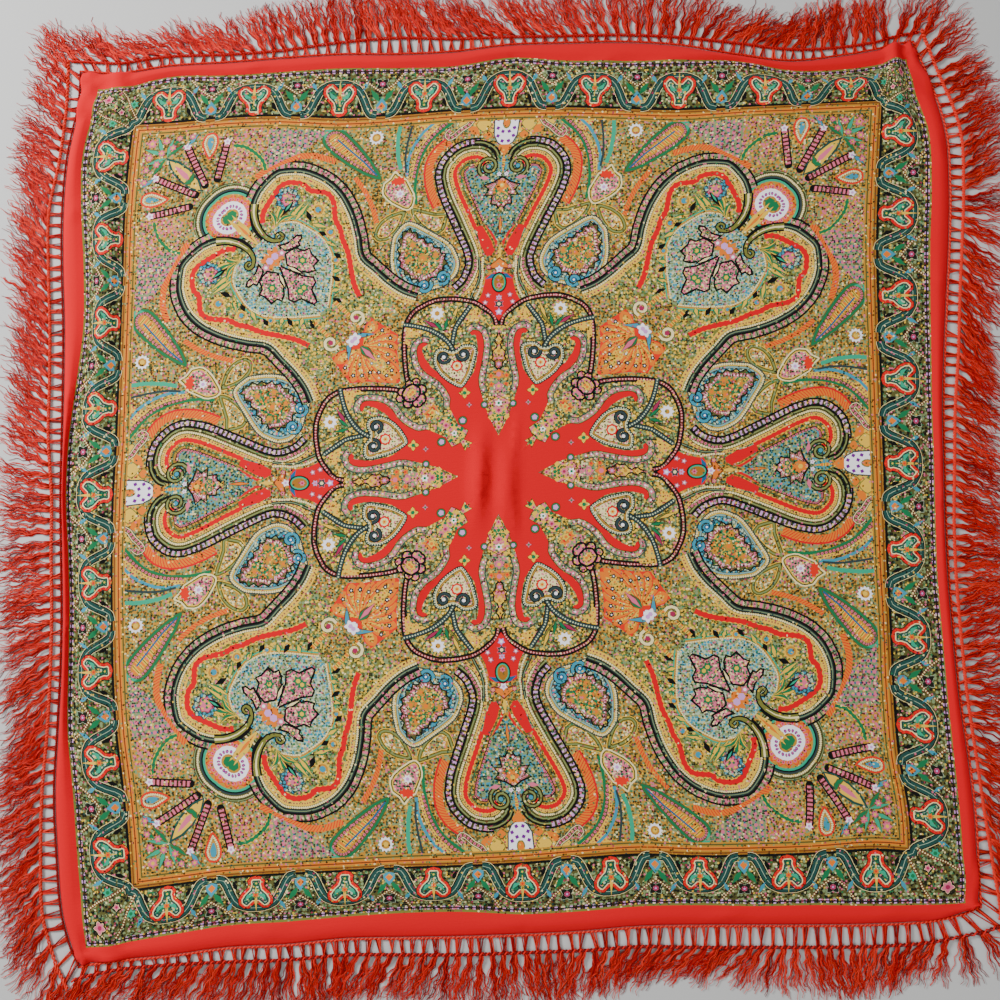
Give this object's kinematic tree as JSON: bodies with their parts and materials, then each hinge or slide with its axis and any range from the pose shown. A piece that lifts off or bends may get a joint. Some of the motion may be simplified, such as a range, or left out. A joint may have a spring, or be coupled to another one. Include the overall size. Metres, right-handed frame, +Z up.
{
  "type": "paisley shawl",
  "caption": "Square printed shawl with a plain hem and a knotted thread fringe on every side, laid flat on a floor.",
  "frame": {"origin": "middle of the laid shawl's outline, fringe included, on the floor under the cloth", "axes": "+Z up off the floor, +X to the right and +Y to the far side as the picture shows the shawl"},
  "size_m": [1.1386, 1.1616, 0.0111],
  "materials": {
    "printed_cloth": "fine plain weave with a soft sheen",
    "fringe_thread": "loose crinkled viscose thread"
  },
  "bodies": {
    "root": {"cloth": "printed_cloth", "fringe_far": "fringe_thread", "fringe_near": "fringe_thread", "fringe_left": "fringe_thread", "fringe_right": "fringe_thread"}
  },
  "joints": []
}
